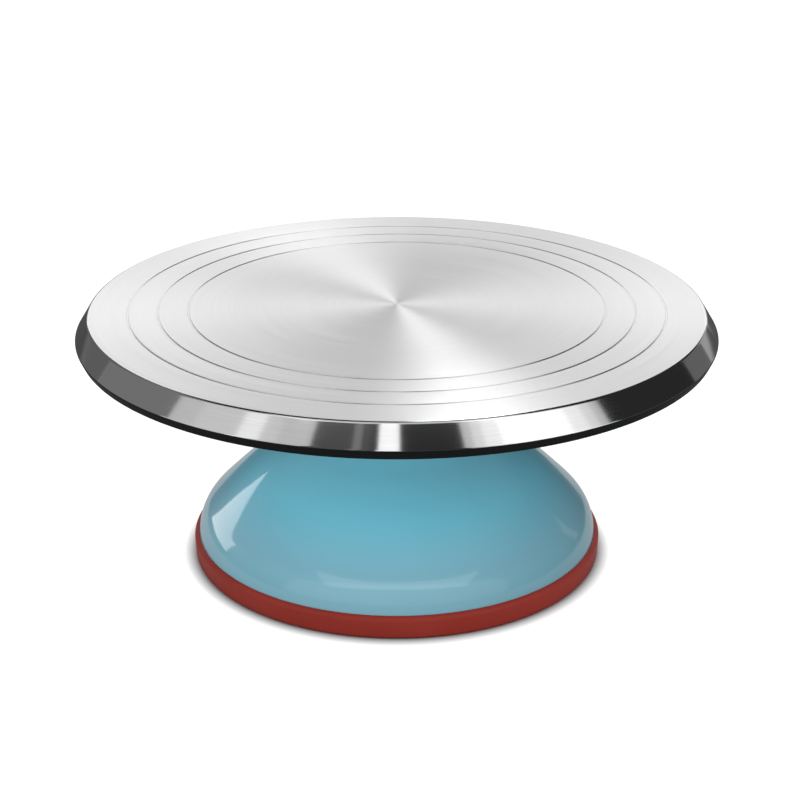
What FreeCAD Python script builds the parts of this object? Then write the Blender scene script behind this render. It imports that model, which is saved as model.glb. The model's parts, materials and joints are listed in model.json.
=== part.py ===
"""Revolving cake turntable: a turned aluminium plate on a bell-shaped enamelled base.

Units are millimetres. The origin is the centre of the ring that stands on the counter,
with +Z up along the spin axis. Every sub-part is written to parts/ as its own STEP file.
"""
import FreeCAD
import Part

import math
import os

# ---------------------------------------------------------------- driving dimensions
PLATE_RADIUS = 152.5          # widest point of the rim
PLATE_TOP = 126.0             # height of the cake face above the counter
PLATE_WEB = 4.0               # thickness of the disc
RIM_TOP_RADIUS = 146.1        # where the cake face meets the bevel
BEVEL_HEIGHT = 10.4           # height of the polished bevel
RIM_HEIGHT = 14.9             # whole height of the rim
RIM_FOOT_RADIUS = 150.4       # outer edge of the rim's underside
RIM_INNER_RADIUS = 145.0
GROOVE_OUTER_RADIUS = 127.5
GROOVE_PITCH = 14.2
GROOVE_COUNT = 3
GROOVE_WIDTH = 0.8
GROOVE_DEPTH = 0.5
RIB_COUNT = 8
RIB_WIDTH = 2.6
RIB_DROP_AT_HUB = 4.0
RIB_DROP_AT_RIM = 2.0
PLATE_BOSS_RADIUS = 32.0
PLATE_BOSS_HEIGHT = 4.0

BELL_RADIUS = 98.0            # enamelled shell at its foot
BELL_FOOT_CORNER = 19.0       # height where the foot and flank lines cross
FLANK_ANGLE = 44.0            # degrees the flank leans from vertical
FOOT_ROUND = 23.0
CROWN_CORNER_RADIUS = 73.7    # where the flank and crown lines cross
CROWN_CORNER_ROUND = 240.0
CROWN_ANGLE = 55.0            # degrees the crown leans from vertical
NECK_RADIUS = 33.0
NECK_ROUND = 44.0
NECK_TOP = 107.0
SHELL_WALL = 4.0
SHELL_FOOT = 3.0              # underside of the shell above the counter

RING_TOP = 11.1               # silicone ring
RING_RADIUS = 100.5
RING_FOOT_RADIUS = 99.9
RING_SEAT_RADIUS = 96.4
RING_INNER_RADIUS = 84.0
GRIP_GROOVES = (88.0, 91.5, 95.0)
GRIP_GROOVE_WIDTH = 1.2
GRIP_GROOVE_DEPTH = 0.8

SHAFT_RADIUS = 7.5            # 15 mm shaft in two 15 x 35 x 11 mm ball bearings
BEARING_RADIUS = 17.5
BEARING_WIDTH = 11.0
INNER_RACE_RADIUS = 10.6
OUTER_RACE_BORE = 14.4
BALL_CIRCLE = 12.5
BALL_RADIUS = 2.85
RACEWAY_RADIUS = 3.05
BALL_COUNT = 8
UPPER_BEARING_FOOT = 95.0
LOWER_BEARING_FOOT = 60.5

HOUSING_RADIUS = 24.0
HOUSING_FOOT = 56.0
HOUSING_TOP = 107.5
HOUSING_FLANGE_RADIUS = 43.0
HOUSING_FLANGE_TOP = 62.0
HOUSING_STEP_RADIUS = 15.5
HOUSING_BOLT_CIRCLE = 36.0

FLANGE_TOP = PLATE_TOP - PLATE_WEB - PLATE_BOSS_HEIGHT
FLANGE_THICKNESS = 5.0
FLANGE_RADIUS = 28.0
FLANGE_BOLT_CIRCLE = 20.0
SHOULDER_RADIUS = 9.6
SPINDLE_FOOT = 56.0

COVER_RADIUS = 93.6           # plate that closes the base from below
COVER_THICKNESS = 2.0
COVER_DISH_RADIUS = 77.0
COVER_DISH_DEPTH = 3.5
COVER_BOLT_CIRCLE = 68.0
BOLT_COUNT = 4

CLEARANCE = 0.05              # slip clearance between assembled fixed pieces
PRESS_CUT = 1.0               # how far cutting tools run past a face

AXIS = FreeCAD.Vector(0, 0, 1)
ORIGIN = FreeCAD.Vector(0, 0, 0)


# ---------------------------------------------------------------- shape helpers
def unit(vector):
    """Return the vector with length one."""
    return FreeCAD.Vector(vector).normalize()


def rounded_wire(corners):
    """Closed outline in the XZ plane from (radius, height, rounding) corners."""
    points = [FreeCAD.Vector(radius, 0, height) for radius, height, _ in corners]
    pieces = []
    ends = []
    for index, point in enumerate(points):
        rounding = corners[index][2]
        if rounding <= 0:
            ends.append((point, point))
            continue
        before = unit(points[index - 1] - point)
        after = unit(points[(index + 1) % len(points)] - point)
        half_angle = before.getAngle(after) / 2
        setback = rounding / math.tan(half_angle)
        start = point + before * setback
        finish = point + after * setback
        centre = point + unit(before + after) * (rounding / math.sin(half_angle))
        middle = centre + unit(point - centre) * rounding
        pieces.append(Part.Arc(start, middle, finish).toShape())
        ends.append((start, finish))
    for index, (_, finish) in enumerate(ends):
        start = ends[(index + 1) % len(ends)][0]
        if finish.distanceToPoint(start) > 1e-6:
            pieces.append(Part.LineSegment(finish, start).toShape())
    return Part.Wire(Part.__sortEdges__(pieces))


def lathe(corners):
    """Solid turned about the Z axis from (radius, height, rounding) corners."""
    face = Part.Face(rounded_wire(corners))
    return face.revolve(ORIGIN, AXIS, 360)


def tube(inner, outer, foot, top, edge=0.0):
    """Turned ring between two radii, with its four edges rounded by edge."""
    return lathe([(inner, foot, edge), (outer, foot, edge), (outer, top, edge), (inner, top, edge)])


def rod(radius, foot, top, x=0.0, y=0.0):
    """Upright cylinder."""
    return Part.makeCylinder(radius, top - foot, FreeCAD.Vector(x, y, foot))


def torus(radius, thickness, height):
    """Torus about the Z axis."""
    return Part.makeTorus(radius, thickness, FreeCAD.Vector(0, 0, height))


def around(shape, count, first=0.0):
    """Copies of a shape spread evenly about the Z axis."""
    copies = []
    for index in range(count):
        copy = shape.copy()
        copy.rotate(ORIGIN, AXIS, first + index * 360.0 / count)
        copies.append(copy)
    return copies


def group(shapes):
    """Separate solids kept together in one node."""
    return Part.makeCompound(shapes)


def turned_over(shape, height):
    """Shape turned upside down and lifted, so its +Z points down from height."""
    copy = shape.copy()
    copy.rotate(ORIGIN, FreeCAD.Vector(1, 0, 0), 180)
    copy.translate(FreeCAD.Vector(0, 0, height))
    return copy


# ---------------------------------------------------------------- fasteners
def hexagon(across_flats, foot, top):
    """Hexagonal prism about the Z axis."""
    radius = across_flats / math.sqrt(3)
    corners = []
    for index in range(7):
        angle = math.radians(60 * index)
        corners.append(FreeCAD.Vector(radius * math.cos(angle), radius * math.sin(angle), foot))
    return Part.Face(Part.makePolygon(corners)).extrude(FreeCAD.Vector(0, 0, top - foot))


def button_screw(shank_radius, length, head_radius, head_height, socket):
    """Socket button-head screw: seat at z = 0, head above, shank below."""
    tip = shank_radius * 0.3
    body = lathe([
        (0, head_height, 0), (head_radius * 0.45, head_height, 0),
        (head_radius, head_height * 0.35, head_height * 0.8), (head_radius, 0, 0.2),
        (shank_radius, 0, 0), (shank_radius, tip - length, 0),
        (shank_radius - tip, -length, 0), (0, -length, 0)])
    return body.cut(hexagon(socket, head_height * 0.4, head_height + PRESS_CUT))


def cross_screw(shank_radius, length, head_radius, head_height):
    """Pan-head screw with a cross recess: seat at z = 0, head above, shank below."""
    tip = shank_radius * 0.3
    body = lathe([
        (0, head_height, 0), (head_radius, head_height, head_height * 0.6),
        (head_radius, 0, 0.2), (shank_radius, 0, 0), (shank_radius, tip - length, 0),
        (shank_radius - tip, -length, 0), (0, -length, 0)])
    slot_length = head_radius * 1.1
    slot_width = head_radius * 0.24
    slot_foot = head_height * 0.45
    slot = Part.makeBox(slot_length, slot_width, head_height,
                        FreeCAD.Vector(-slot_length / 2, -slot_width / 2, slot_foot))
    return body.cut(slot.multiFuse(around(slot, 1, 90)))


def retaining_ring(inner, outer, foot, thickness, lug_circle, lug_radius, gap_angle):
    """Circlip with a gap at +X and a drilled lug on each side of it."""
    top = foot + thickness
    ring = tube(inner, outer, foot, top)
    half_gap = math.radians(gap_angle / 2)
    reach = outer * 2
    wedge = Part.Face(Part.makePolygon([
        FreeCAD.Vector(0, 0, foot - PRESS_CUT),
        FreeCAD.Vector(reach * math.cos(half_gap), -reach * math.sin(half_gap), foot - PRESS_CUT),
        FreeCAD.Vector(reach * math.cos(half_gap), reach * math.sin(half_gap), foot - PRESS_CUT),
        FreeCAD.Vector(0, 0, foot - PRESS_CUT)])).extrude(AXIS * (thickness + 2 * PRESS_CUT))
    ring = ring.cut(wedge)
    lug_angle = half_gap + lug_radius / lug_circle
    for side in (-1, 1):
        x = lug_circle * math.cos(lug_angle)
        y = side * lug_circle * math.sin(lug_angle)
        ring = ring.fuse(rod(lug_radius, foot, top, x, y))
        ring = ring.cut(rod(lug_radius * 0.45, foot - PRESS_CUT, top + PRESS_CUT, x, y))
    return ring


FLANGE_SCREW = {"shank_radius": 2.5, "length": 10.5, "head_radius": 4.75,
                "head_height": 2.75, "socket": 3.0}
HOUSING_SCREW = {"shank_radius": 2.5, "length": 18.0, "head_radius": 4.75,
                 "head_height": 2.75, "socket": 3.0}
COVER_SCREW = {"shank_radius": 2.0, "length": 14.0, "head_radius": 4.0, "head_height": 2.6}


def bolt_holes(screw, circle, seat, first):
    """Holes for a screw pattern that goes up from its seat."""
    radius = screw["shank_radius"] + CLEARANCE
    top = seat + screw["length"] + CLEARANCE
    return around(rod(radius, seat - PRESS_CUT, top, circle), BOLT_COUNT, first)


def screws_up(screw_shape, circle, seat, first):
    """Screws driven upwards from a seat."""
    screw = turned_over(screw_shape, seat)
    screw.translate(FreeCAD.Vector(circle, 0, 0))
    return group(around(screw, BOLT_COUNT, first))


# ---------------------------------------------------------------- turning body
def groove_cutter(radius, width, depth, face):
    """Round-bottomed groove below a face."""
    return lathe([(radius - width / 2, face + PRESS_CUT, 0), (radius - width / 2, face - depth, width / 4),
                  (radius + width / 2, face - depth, width / 4), (radius + width / 2, face + PRESS_CUT, 0)])


def make_turntable_plate():
    """Turned plate: grooved face, bevelled rim, ribs and a drilled boss below."""
    web_foot = PLATE_TOP - PLATE_WEB
    rim_foot = PLATE_TOP - RIM_HEIGHT
    boss_foot = web_foot - PLATE_BOSS_HEIGHT
    plate = lathe([
        (0, PLATE_TOP, 0), (RIM_TOP_RADIUS, PLATE_TOP, 1.6),
        (PLATE_RADIUS, PLATE_TOP - BEVEL_HEIGHT, 1.2), (RIM_FOOT_RADIUS, rim_foot, 1.0),
        (RIM_INNER_RADIUS, rim_foot, 1.0), (RIM_INNER_RADIUS, web_foot, 3.0),
        (PLATE_BOSS_RADIUS, web_foot, 2.0), (PLATE_BOSS_RADIUS, boss_foot, 0.8), (0, boss_foot, 0)])
    rib_outline = Part.makePolygon([
        FreeCAD.Vector(PLATE_BOSS_RADIUS - 3, 0, web_foot + 1),
        FreeCAD.Vector(RIM_INNER_RADIUS + 1, 0, web_foot + 1),
        FreeCAD.Vector(RIM_INNER_RADIUS + 1, 0, web_foot - RIB_DROP_AT_RIM),
        FreeCAD.Vector(PLATE_BOSS_RADIUS - 3, 0, web_foot - RIB_DROP_AT_HUB),
        FreeCAD.Vector(PLATE_BOSS_RADIUS - 3, 0, web_foot + 1)])
    rib = Part.Face(rib_outline).extrude(FreeCAD.Vector(0, RIB_WIDTH, 0))
    rib.translate(FreeCAD.Vector(0, -RIB_WIDTH / 2, 0))
    plate = plate.multiFuse(around(rib, RIB_COUNT, 180.0 / RIB_COUNT))
    cutters = []
    for index in range(GROOVE_COUNT):
        radius = GROOVE_OUTER_RADIUS - index * GROOVE_PITCH
        cutters.append(groove_cutter(radius, GROOVE_WIDTH, GROOVE_DEPTH, PLATE_TOP))
    seat = FLANGE_TOP - FLANGE_THICKNESS
    cutters += bolt_holes(FLANGE_SCREW, FLANGE_BOLT_CIRCLE, seat, 0)
    return plate.cut(cutters).removeSplitter()


def make_spindle():
    """Flanged shaft, stepped for the bearings and grooved for its retaining ring."""
    flange_foot = FLANGE_TOP - FLANGE_THICKNESS
    shoulder_foot = UPPER_BEARING_FOOT + BEARING_WIDTH
    shaft = lathe([
        (0, FLANGE_TOP, 0), (FLANGE_RADIUS, FLANGE_TOP, 0.6), (FLANGE_RADIUS, flange_foot, 0.6),
        (SHOULDER_RADIUS, flange_foot, 0), (SHOULDER_RADIUS, shoulder_foot, 0.3),
        (SHAFT_RADIUS, shoulder_foot, 0), (SHAFT_RADIUS, SPINDLE_FOOT + 0.8, 0),
        (SHAFT_RADIUS - 0.8, SPINDLE_FOOT, 0), (0, SPINDLE_FOOT, 0)])
    groove_foot = LOWER_BEARING_FOOT - 2.05
    groove = tube(SHAFT_RADIUS - 0.4, SHAFT_RADIUS + PRESS_CUT, groove_foot, groove_foot + 1.1)
    holes = bolt_holes(FLANGE_SCREW, FLANGE_BOLT_CIRCLE, flange_foot, 0)
    return shaft.cut([groove] + holes)


def make_spindle_screws():
    """Four screws that hold the spindle flange up against the plate's boss."""
    return screws_up(button_screw(**FLANGE_SCREW), FLANGE_BOLT_CIRCLE, FLANGE_TOP - FLANGE_THICKNESS, 0)


def make_dust_ring():
    """Rubber V-ring on the spindle, its lip just above the bearing cap."""
    top = FLANGE_TOP - FLANGE_THICKNESS
    return lathe([
        (SHOULDER_RADIUS, top, 0.2), (12.8, top, 0.4), (12.8, 111.0, 0.3), (11.9, 110.2, 0.2),
        (14.4, 108.6, 0.1), (13.6, 108.6, 0.1), (11.2, 109.6, 0.3), (SHOULDER_RADIUS, 109.6, 0.2)])


def make_inner_spacer():
    """Sleeve that sets the distance between the two inner races."""
    return tube(SHAFT_RADIUS, SHOULDER_RADIUS + 0.2, LOWER_BEARING_FOOT + BEARING_WIDTH,
                UPPER_BEARING_FOOT, 0.3)


def make_spindle_washer():
    """Shim between the lower inner race and the retaining ring."""
    return tube(SHAFT_RADIUS, INNER_RACE_RADIUS, LOWER_BEARING_FOOT - 1.0, LOWER_BEARING_FOOT, 0.15)


def make_spindle_retaining_ring():
    """Circlip in the spindle's groove, which keeps the plate from lifting off."""
    return retaining_ring(SHAFT_RADIUS - 0.4, 9.2, LOWER_BEARING_FOOT - 2.0, 1.0, 9.6, 1.5, 40)


# ---------------------------------------------------------------- bearings
def make_inner_race(foot):
    """Inner race with its ball groove."""
    ring = tube(SHAFT_RADIUS, INNER_RACE_RADIUS, foot, foot + BEARING_WIDTH, 0.4)
    return ring.cut(torus(BALL_CIRCLE, RACEWAY_RADIUS, foot + BEARING_WIDTH / 2))


def make_outer_race(foot):
    """Outer race with its ball groove."""
    ring = tube(OUTER_RACE_BORE, BEARING_RADIUS, foot, foot + BEARING_WIDTH, 0.4)
    return ring.cut(torus(BALL_CIRCLE, RACEWAY_RADIUS, foot + BEARING_WIDTH / 2))


def make_seals(foot):
    """Two rubber seals that close the bearing above and below."""
    thickness = 0.9
    recess = 0.4
    gap = 0.2
    lower = tube(INNER_RACE_RADIUS + gap, OUTER_RACE_BORE, foot + recess, foot + recess + thickness)
    upper_top = foot + BEARING_WIDTH - recess
    upper = tube(INNER_RACE_RADIUS + gap, OUTER_RACE_BORE, upper_top - thickness, upper_top)
    return group([lower, upper])


def make_balls(foot):
    """Ring of bearing balls."""
    centre = FreeCAD.Vector(BALL_CIRCLE, 0, foot + BEARING_WIDTH / 2)
    return group(around(Part.makeSphere(BALL_RADIUS, centre), BALL_COUNT, 180.0 / BALL_COUNT))


def make_cage(foot):
    """Cage that spaces the balls in bored pockets."""
    half_height = 3.8
    pocket_gap = 0.08
    middle = foot + BEARING_WIDTH / 2
    band = tube(11.3, 13.7, middle - half_height, middle + half_height)
    pocket = Part.makeCylinder(BALL_RADIUS + pocket_gap, BALL_CIRCLE,
                               FreeCAD.Vector(BALL_CIRCLE / 2, 0, middle), FreeCAD.Vector(1, 0, 0))
    return band.cut(around(pocket, BALL_COUNT, 180.0 / BALL_COUNT))


# ---------------------------------------------------------------- standing body
def bell_solid(inset, foot, top):
    """Bell turned from its foot, flank, crown and neck lines, all set in by inset."""
    flank, crown = math.radians(FLANK_ANGLE), math.radians(CROWN_ANGLE)
    foot_radius = BELL_RADIUS - inset
    neck_radius = NECK_RADIUS - inset
    corner_height = BELL_FOOT_CORNER + (BELL_RADIUS - CROWN_CORNER_RADIUS) / math.tan(flank)
    halfway = (flank + crown) / 2
    setback = inset / math.cos((crown - flank) / 2)
    crown_radius = CROWN_CORNER_RADIUS - setback * math.cos(halfway)
    crown_corner = corner_height - setback * math.sin(halfway)
    foot_corner = crown_corner - (foot_radius - crown_radius) / math.tan(flank)
    neck_corner = crown_corner + (crown_radius - neck_radius) / math.tan(crown)
    return lathe([
        (0, foot, 0), (foot_radius, foot, 0), (foot_radius, foot_corner, FOOT_ROUND - inset),
        (crown_radius, crown_corner, CROWN_CORNER_ROUND - inset),
        (neck_radius, neck_corner, NECK_ROUND + inset), (neck_radius, top, 2.0 if inset else 3.0), (0, top, 0)])


def make_base_shell():
    """Cast bell with a seat for the ring, screw posts inside and a bored neck."""
    outside = bell_solid(0, SHELL_FOOT, NECK_TOP)
    inside = bell_solid(SHELL_WALL, SHELL_FOOT - PRESS_CUT, NECK_TOP - SHELL_WALL)
    cover_seat = SHELL_FOOT + COVER_THICKNESS + COVER_DISH_DEPTH
    posts = around(rod(5.0, cover_seat, NECK_TOP, COVER_BOLT_CIRCLE), BOLT_COUNT, 45)
    posts += around(rod(5.5, HOUSING_FLANGE_TOP, NECK_TOP, HOUSING_BOLT_CIRCLE), BOLT_COUNT, 0)
    posts = [post.common(outside) for post in posts]
    shell = outside.cut(inside).multiFuse(posts)
    ring_seat = tube(RING_SEAT_RADIUS, BELL_RADIUS + PRESS_CUT, SHELL_FOOT - PRESS_CUT, RING_TOP)
    neck_bore = rod(HOUSING_RADIUS + CLEARANCE, SHELL_FOOT - PRESS_CUT, NECK_TOP + PRESS_CUT)
    cutters = [ring_seat, neck_bore]
    cutters += bolt_holes(COVER_SCREW, COVER_BOLT_CIRCLE, cover_seat - COVER_THICKNESS, 45)
    cutters += bolt_holes(HOUSING_SCREW, HOUSING_BOLT_CIRCLE, HOUSING_FOOT, 0)
    return shell.cut(cutters).removeSplitter()


def make_non_slip_ring():
    """Silicone ring stretched round the shell's foot, with grip grooves below."""
    ring = lathe([
        (RING_SEAT_RADIUS, RING_TOP, 0), (RING_RADIUS, RING_TOP, 2.4), (RING_FOOT_RADIUS, 0, 1.6),
        (RING_INNER_RADIUS, 0, 0.6), (RING_INNER_RADIUS, SHELL_FOOT, 0.6),
        (RING_SEAT_RADIUS, SHELL_FOOT, 0)])
    cutters = []
    for radius in GRIP_GROOVES:
        groove = groove_cutter(radius, GRIP_GROOVE_WIDTH, GRIP_GROOVE_DEPTH, 0)
        cutters.append(turned_over(groove, 0))
    return ring.cut(cutters)


def make_bottom_cover():
    """Dished plate that closes the base from below."""
    foot = SHELL_FOOT
    dish_foot = foot + COVER_DISH_DEPTH
    edge = COVER_DISH_RADIUS + COVER_THICKNESS
    cover = lathe([
        (0, dish_foot + COVER_THICKNESS, 0), (COVER_DISH_RADIUS, dish_foot + COVER_THICKNESS, 1.5),
        (edge, foot + COVER_THICKNESS, 0.5), (COVER_RADIUS, foot + COVER_THICKNESS, 0.4),
        (COVER_RADIUS, foot, 0.4), (edge - COVER_THICKNESS / 2, foot, 1.5),
        (COVER_DISH_RADIUS - COVER_THICKNESS, dish_foot, 0.5), (0, dish_foot, 0)])
    return cover.cut(bolt_holes(COVER_SCREW, COVER_BOLT_CIRCLE, dish_foot, 45))


def make_cover_screws():
    """Four screws up into the shell's long posts."""
    seat = SHELL_FOOT + COVER_DISH_DEPTH
    return screws_up(cross_screw(**COVER_SCREW), COVER_BOLT_CIRCLE, seat, 45)


def make_bearing_housing():
    """Turned housing: flange below, a stepped bore for the two bearings."""
    bearing_top = UPPER_BEARING_FOOT + BEARING_WIDTH
    housing = lathe([
        (BEARING_RADIUS, HOUSING_FOOT, 0.4), (HOUSING_FLANGE_RADIUS, HOUSING_FOOT, 0.8),
        (HOUSING_FLANGE_RADIUS, HOUSING_FLANGE_TOP, 0.8), (HOUSING_RADIUS, HOUSING_FLANGE_TOP, 2.0),
        (HOUSING_RADIUS, HOUSING_TOP, 0.4), (BEARING_RADIUS, HOUSING_TOP, 0),
        (BEARING_RADIUS, UPPER_BEARING_FOOT, 0), (HOUSING_STEP_RADIUS, UPPER_BEARING_FOOT, 0),
        (HOUSING_STEP_RADIUS, LOWER_BEARING_FOOT + BEARING_WIDTH, 0),
        (BEARING_RADIUS, LOWER_BEARING_FOOT + BEARING_WIDTH, 0)])
    groove_foot = LOWER_BEARING_FOOT - 2.55
    groove = tube(BEARING_RADIUS - PRESS_CUT, BEARING_RADIUS + 1.0, groove_foot, groove_foot + 1.6)
    holes = bolt_holes(HOUSING_SCREW, HOUSING_BOLT_CIRCLE, HOUSING_FOOT, 0)
    assert HOUSING_TOP > bearing_top
    return housing.cut([groove] + holes)


def make_housing_screws():
    """Four screws that hold the housing flange up against the shell's bosses."""
    return screws_up(button_screw(**HOUSING_SCREW), HOUSING_BOLT_CIRCLE, HOUSING_FOOT, 0)


def make_preload_washer():
    """Cone spring between the housing's circlip and the lower outer race."""
    foot = LOWER_BEARING_FOOT - 1.0
    return lathe([(14.6, LOWER_BEARING_FOOT - 0.5, 0), (17.3, foot, 0), (17.3, foot + 0.5, 0),
                  (14.6, LOWER_BEARING_FOOT, 0)])


def make_housing_retaining_ring():
    """Circlip in the housing's groove below the lower bearing."""
    return retaining_ring(15.9, BEARING_RADIUS + 0.9, LOWER_BEARING_FOOT - 2.5, 1.5, 15.2, 1.6, 24)


def make_bearing_cap():
    """Pressed dust cap on top of the housing."""
    return lathe([
        (10.2, HOUSING_TOP, 0), (10.2, HOUSING_TOP + 0.8, 0.2), (22.5, HOUSING_TOP + 0.8, 0.4),
        (22.5, HOUSING_TOP, 0), (BEARING_RADIUS, HOUSING_TOP, 0), (BEARING_RADIUS, HOUSING_TOP - 1.2, 0.2),
        (BEARING_RADIUS - 1.2, HOUSING_TOP - 1.2, 0.2), (BEARING_RADIUS - 1.2, HOUSING_TOP, 0)])


# ---------------------------------------------------------------- assembly
def all_parts():
    """Every node's name and its shape."""
    parts = {
        "turntable_plate": make_turntable_plate(),
        "spindle": make_spindle(),
        "spindle_screws": make_spindle_screws(),
        "dust_ring": make_dust_ring(),
        "inner_spacer": make_inner_spacer(),
        "spindle_washer": make_spindle_washer(),
        "spindle_retaining_ring": make_spindle_retaining_ring(),
        "base_shell": make_base_shell(),
        "non_slip_ring": make_non_slip_ring(),
        "bottom_cover": make_bottom_cover(),
        "cover_screws": make_cover_screws(),
        "bearing_housing": make_bearing_housing(),
        "housing_screws": make_housing_screws(),
        "preload_washer": make_preload_washer(),
        "housing_retaining_ring": make_housing_retaining_ring(),
        "bearing_cap": make_bearing_cap(),
    }
    for name, foot in (("upper", UPPER_BEARING_FOOT), ("lower", LOWER_BEARING_FOOT)):
        parts[name + "_inner_race"] = make_inner_race(foot)
        parts[name + "_outer_race"] = make_outer_race(foot)
        parts[name + "_bearing_balls"] = make_balls(foot)
        parts[name + "_bearing_cage"] = make_cage(foot)
        parts[name + "_bearing_seals"] = make_seals(foot)
    return parts


def main():
    """Write one STEP file for each node."""
    os.makedirs("parts", exist_ok=True)
    for name, shape in all_parts().items():
        box = shape.BoundBox
        shape.exportStep("parts/" + name + ".step")
        print(f"{name:26s} solids {len(shape.Solids):2d}  valid {shape.isValid()}  "
              f"volume {shape.Volume:10.1f}  z {box.ZMin:6.2f} to {box.ZMax:6.2f}")


main()
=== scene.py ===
# %% [markdown]
# # A revolving cake turntable
#
# The object is a turned aluminium plate that spins on a bell-shaped enamelled base with a
# silicone ring round its foot. The engineering model is already packed as a frame: every
# screw, race and ball is in it at its true place. This lesson gives that frame its looks.
# The large turned pieces are made again here with smooth, dense surfaces, because polished
# metal and gloss enamel show every facet. The small pieces keep their frame shapes and get
# proper finishes. Sizes are written in millimetres and made into metres where a mesh is
# built, with +Z up along the spin axis. Noise scales, lights and the camera are in metres.

# %% Load the frame and measure it
import json
import math

import bpy
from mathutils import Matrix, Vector


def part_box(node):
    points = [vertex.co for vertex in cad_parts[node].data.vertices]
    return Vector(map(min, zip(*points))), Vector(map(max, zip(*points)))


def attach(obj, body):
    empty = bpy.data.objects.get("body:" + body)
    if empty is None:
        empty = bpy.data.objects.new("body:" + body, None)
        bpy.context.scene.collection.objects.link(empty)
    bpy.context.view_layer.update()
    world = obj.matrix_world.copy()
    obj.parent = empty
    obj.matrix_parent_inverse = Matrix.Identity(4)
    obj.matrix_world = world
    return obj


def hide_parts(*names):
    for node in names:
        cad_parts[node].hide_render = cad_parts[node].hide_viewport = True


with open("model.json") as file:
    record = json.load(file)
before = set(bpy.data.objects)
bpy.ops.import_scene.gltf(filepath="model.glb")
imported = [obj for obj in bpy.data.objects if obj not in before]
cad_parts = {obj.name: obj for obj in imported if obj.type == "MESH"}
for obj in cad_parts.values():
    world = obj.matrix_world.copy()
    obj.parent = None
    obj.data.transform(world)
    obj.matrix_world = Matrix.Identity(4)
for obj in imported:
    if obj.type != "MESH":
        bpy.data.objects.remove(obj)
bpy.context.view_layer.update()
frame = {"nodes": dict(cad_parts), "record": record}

MM = 0.001
SCENE = bpy.context.scene

# %% [markdown]
# ## Outlines from corners and roundings
#
# A turned piece is known by half of its section. A turner's drawing gives that section as
# a few corners, each with a rounding radius. Points along every arc could be typed in by
# hand, but they would be hard to read and to change. So a short function walks round the
# corners and puts an arc of the right radius at each one.


# %% Turn rounded corners into an outline
def outline(corners, closed=False, arc_step=math.radians(7)):
    """Points (radius, height) along a section given as (radius, height, rounding) corners."""
    places = [Vector((radius, height)) for radius, height, _ in corners]
    points = []
    last = len(places) - 1
    for index, place in enumerate(places):
        rounding = corners[index][2]
        at_end = not closed and index in (0, last)
        if rounding <= 0 or at_end:
            points.append(place)
            continue
        before = (places[index - 1] - place).normalized()
        after = (places[(index + 1) % len(places)] - place).normalized()
        half = before.angle(after) / 2
        setback = rounding / math.tan(half)
        centre = place + (before + after).normalized() * (rounding / math.sin(half))
        start = place + before * setback - centre
        turn = start.angle_signed(place + after * setback - centre)
        steps = max(2, math.ceil(abs(turn) / arc_step))
        for step in range(steps + 1):
            angle = -turn * step / steps
            cosine, sine = math.cos(angle), math.sin(angle)
            spoke = Vector((start.x * cosine - start.y * sine, start.x * sine + start.y * cosine))
            points.append(centre + spoke)
    if closed:
        points.append(points[0].copy())
    return points


def scaled(corners):
    """The same corners, given in millimetres, in metres."""
    return [(radius * MM, height * MM, rounding * MM) for radius, height, rounding in corners]


print("a rounded square has", len(outline([(0, 0, 1), (4, 0, 1), (4, 4, 1), (0, 4, 1)], True)), "points")

# %% [markdown]
# ## A lathe made of Geometry Nodes
#
# Blender can turn an outline with the Screw modifier or the Spin tool. A node tree is used
# here because it also stores a UV map that runs round and along the surface, marks the real
# edges sharp, and serves every turned piece with one tree. It lays out a flat grid with one
# row for each outline point and one column for each step of the turn. Then it moves each
# grid point out to its radius and round to its angle, and welds the seam and the poles.


# %% Node tree helpers
class Tree:
    """A node tree being built, with short calls for adding and joining nodes."""

    def __init__(self, tree):
        self.tree = tree
        self.nodes = tree.nodes

    def add(self, kind, **settings):
        """Add a node; settings are its own properties, or inputs named in_NAME or in_INDEX."""
        node = self.nodes.new(kind)
        for key, value in settings.items():
            if not key.startswith("in_"):
                setattr(node, key, value)
        for key, value in settings.items():
            if key.startswith("in_"):
                name = key[3:]
                socket = node.inputs[int(name)] if name.isdigit() else node.inputs[name.replace("_", " ")]
                self.feed(socket, value)
        return node

    def feed(self, socket, value):
        """Join a socket to another one, or set it to a plain value."""
        if isinstance(value, bpy.types.NodeSocket):
            self.tree.links.new(value, socket)
        else:
            socket.default_value = value

    def math(self, operation, first, second=0.0, third=0.0):
        """Output of a Math node."""
        kind = "ShaderNodeMath"
        return self.add(kind, operation=operation, in_0=first, in_1=second, in_2=third).outputs[0]


def geometry_tree(name, inputs):
    """New geometry tree with named inputs; returns it, its input node and its output node."""
    tree = bpy.data.node_groups.new(name, "GeometryNodeTree")
    for label, kind in inputs:
        tree.interface.new_socket(label, in_out="INPUT", socket_type=kind)
    tree.interface.new_socket("Geometry", in_out="OUTPUT", socket_type="NodeSocketGeometry")
    build = Tree(tree)
    return build, build.add("NodeGroupInput").outputs, build.add("NodeGroupOutput").inputs["Geometry"]


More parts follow.
